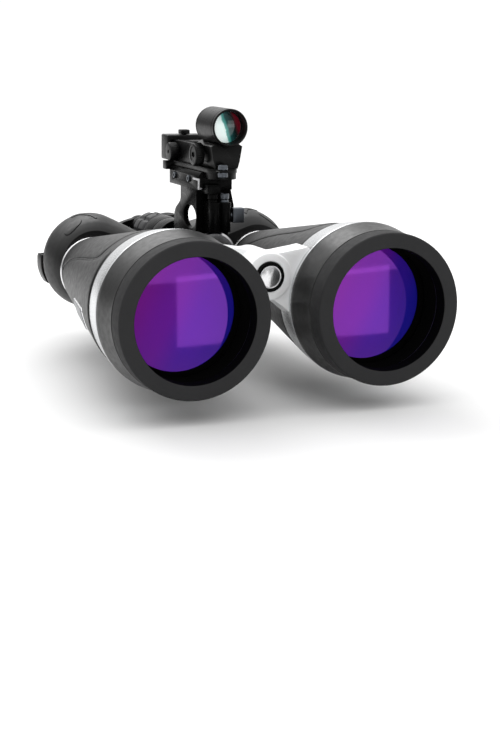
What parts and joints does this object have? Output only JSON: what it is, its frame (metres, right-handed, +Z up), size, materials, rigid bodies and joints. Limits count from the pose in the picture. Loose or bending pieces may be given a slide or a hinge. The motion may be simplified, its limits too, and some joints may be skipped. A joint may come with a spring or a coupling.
{
  "type": "astronomy binoculars",
  "caption": "Large Porro-prism binoculars hinged on a centre rod with a sliding tripod post, centre focus, twist-up eyecups and a red-dot finder on a bracket.",
  "frame": {"origin": "centre of the tripod post's socket face", "axes": "+Y towards the eyepieces along the optical axes, +Z up away from the tripod, +X towards the user's left"},
  "size_m": [0.2374, 0.338, 0.1883],
  "materials": {
    "armour_rubber": "matte, fine moulded grain",
    "rim_rubber": "matte",
    "eyecup_rubber": "matte, ribbed",
    "satin_silver": "satin silver",
    "bright_metal": "polished",
    "black_alloy": "black anodised",
    "black_plastic": "fine texture",
    "coated_glass": "purple anti-reflection coating",
    "prism_glass": "clear, polished",
    "brass": "turned",
    "steel": "brushed",
    "badge_metal": "satin, bright edge"
  },
  "bodies": {
    "root": {"post_carriage": "black_alloy", "socket_insert": "brass", "finder_bracket": "black_alloy", "front_post": "black_alloy", "brass_nut": "brass", "rear_set_screw": "steel", "front_set_screw": "steel", "finder_base": "black_plastic"},
    "rod": {"centre_rod": "black_alloy", "cap_bezel": "black_alloy", "cap_disc": "satin_silver"},
    "left_half": {"left_rim_ring": "rim_rubber", "left_hood": "armour_rubber", "left_lens_retainer": "black_alloy", "left_objective_lens": "coated_glass", "left_barrel_tube": "black_alloy", "left_bridge_casting": "satin_silver", "left_barrel_armour": "armour_rubber", "left_bright_ring": "bright_metal", "left_prism_housing": "armour_rubber", "left_rear_prism": "prism_glass", "left_front_prism": "prism_glass", "left_rear_cover": "black_plastic", "left_strap_lug": "black_plastic"},
    "right_half": {"right_rim_ring": "rim_rubber", "right_hood": "armour_rubber", "right_lens_retainer": "black_alloy", "right_objective_lens": "coated_glass", "right_barrel_tube": "black_alloy", "right_bridge_casting": "satin_silver", "right_barrel_armour": "armour_rubber", "right_bright_ring": "bright_metal", "right_prism_housing": "armour_rubber", "right_rear_prism": "prism_glass", "right_front_prism": "prism_glass", "right_rear_cover": "black_plastic", "right_strap_lug": "black_plastic", "right_badge_plate": "badge_metal"},
    "focus_wheel": {"focus_wheel": "eyecup_rubber"},
    "focus_shaft": {"focus_shaft": "steel"},
    "left_eyepiece": {"left_eyepiece": "black_alloy", "left_eye_lens": "prism_glass"},
    "right_eyepiece": {"right_eyepiece": "black_alloy", "right_eye_lens": "prism_glass"},
    "dioptre_ring": {"dioptre_ring": "eyecup_rubber"},
    "left_eyecup": {"left_eyecup": "eyecup_rubber"},
    "right_eyecup": {"right_eyecup": "eyecup_rubber"},
    "lock_knob": {"carriage_lock_knob": "black_plastic"},
    "thumb_lever": {"thumb_lever": "steel"},
    "finder_head": {"finder_head": "black_plastic", "sight_tube": "black_plastic", "sight_lens": "coated_glass", "finder_rear_block": "black_plastic", "lamp_cover": "black_plastic"},
    "azimuth_knob": {"azimuth_knob": "black_plastic"},
    "switch_knob": {"switch_knob": "black_plastic"},
    "altitude_knob": {"altitude_knob": "bright_metal"}
  },
  "joints": [
    {"name": "rod_slide", "type": "slide", "parent": "root", "child": "rod", "axis": [0, 1, 0], "range_m": [-0.025, 0.04]},
    {"name": "left_hinge", "type": "hinge", "parent": "rod", "child": "left_half", "pos_m": [0, -0.008, 0.0846], "axis": [0, 1, 0], "range_deg": [-18, 10]},
    {"name": "right_hinge", "type": "hinge", "parent": "rod", "child": "right_half", "pos_m": [0, -0.008, 0.0846], "axis": [0, 1, 0], "range_deg": [-10, 18]},
    {"name": "focus_wheel_turn", "type": "hinge", "parent": "rod", "child": "focus_wheel", "pos_m": [0, 0.111, 0.0846], "axis": [0, 1, 0], "range_deg": [-180, 180]},
    {"name": "focus_shaft_slide", "type": "slide", "parent": "rod", "child": "focus_shaft", "axis": [0, 1, 0], "range_m": [-0.004, 0.004]},
    {"name": "left_eyepiece_slide", "type": "slide", "parent": "left_half", "child": "left_eyepiece", "axis": [0, 1, 0], "range_m": [-0.004, 0.004]},
    {"name": "right_eyepiece_slide", "type": "slide", "parent": "right_half", "child": "right_eyepiece", "axis": [0, 1, 0], "range_m": [-0.004, 0.004]},
    {"name": "dioptre_turn", "type": "hinge", "parent": "right_eyepiece", "child": "dioptre_ring", "pos_m": [-0.0325, 0.159, 0.071], "axis": [0, 1, 0], "range_deg": [-60, 60]},
    {"name": "left_eyecup_slide", "type": "slide", "parent": "left_eyepiece", "child": "left_eyecup", "axis": [0, 1, 0], "range_m": [0, 0.006]},
    {"name": "right_eyecup_slide", "type": "slide", "parent": "right_eyepiece", "child": "right_eyecup", "axis": [0, 1, 0], "range_m": [0, 0.006]},
    {"name": "lock_knob_turn", "type": "hinge", "parent": "root", "child": "lock_knob", "pos_m": [-0.016, 0.007, 0.064], "axis": [-1, 0, 0], "range_deg": [0, 270]},
    {"name": "thumb_lever_turn", "type": "hinge", "parent": "root", "child": "thumb_lever", "pos_m": [0.014, -0.0214, 0.1136], "axis": [1, 0, 0], "range_deg": [0, 180]},
    {"name": "azimuth_knob_turn", "type": "hinge", "parent": "finder_head", "child": "azimuth_knob", "pos_m": [-0.013, -0.0154, 0.156], "axis": [-1, 0, 0], "range_deg": [-180, 180]},
    {"name": "finder_swivel", "type": "hinge", "parent": "root", "child": "finder_head", "pos_m": [0.0015, 0.038, 0.151], "axis": [0, 0, 1], "range_deg": [-2, 2]},
    {"name": "switch_knob_turn", "type": "hinge", "parent": "finder_head", "child": "switch_knob", "pos_m": [-0.012, 0.0406, 0.1536], "axis": [-1, 0, 0], "range_deg": [0, 270]},
    {"name": "altitude_knob_turn", "type": "hinge", "parent": "root", "child": "altitude_knob", "pos_m": [-0.0032, -0.0386, 0.146], "axis": [0, 0, 1], "range_deg": [-180, 180]}
  ],
  "couplings": [
    {"joint": "right_hinge", "follows": "left_hinge", "ratio": -1},
    {"joint": "focus_shaft_slide", "follows": "focus_wheel_turn", "m_per_rad": 0.00127},
    {"joint": "left_eyepiece_slide", "follows": "focus_wheel_turn", "m_per_rad": 0.00127},
    {"joint": "right_eyepiece_slide", "follows": "focus_wheel_turn", "m_per_rad": 0.00127},
    {"joint": "finder_swivel", "follows": "azimuth_knob_turn", "ratio": 0.0111}
  ]
}
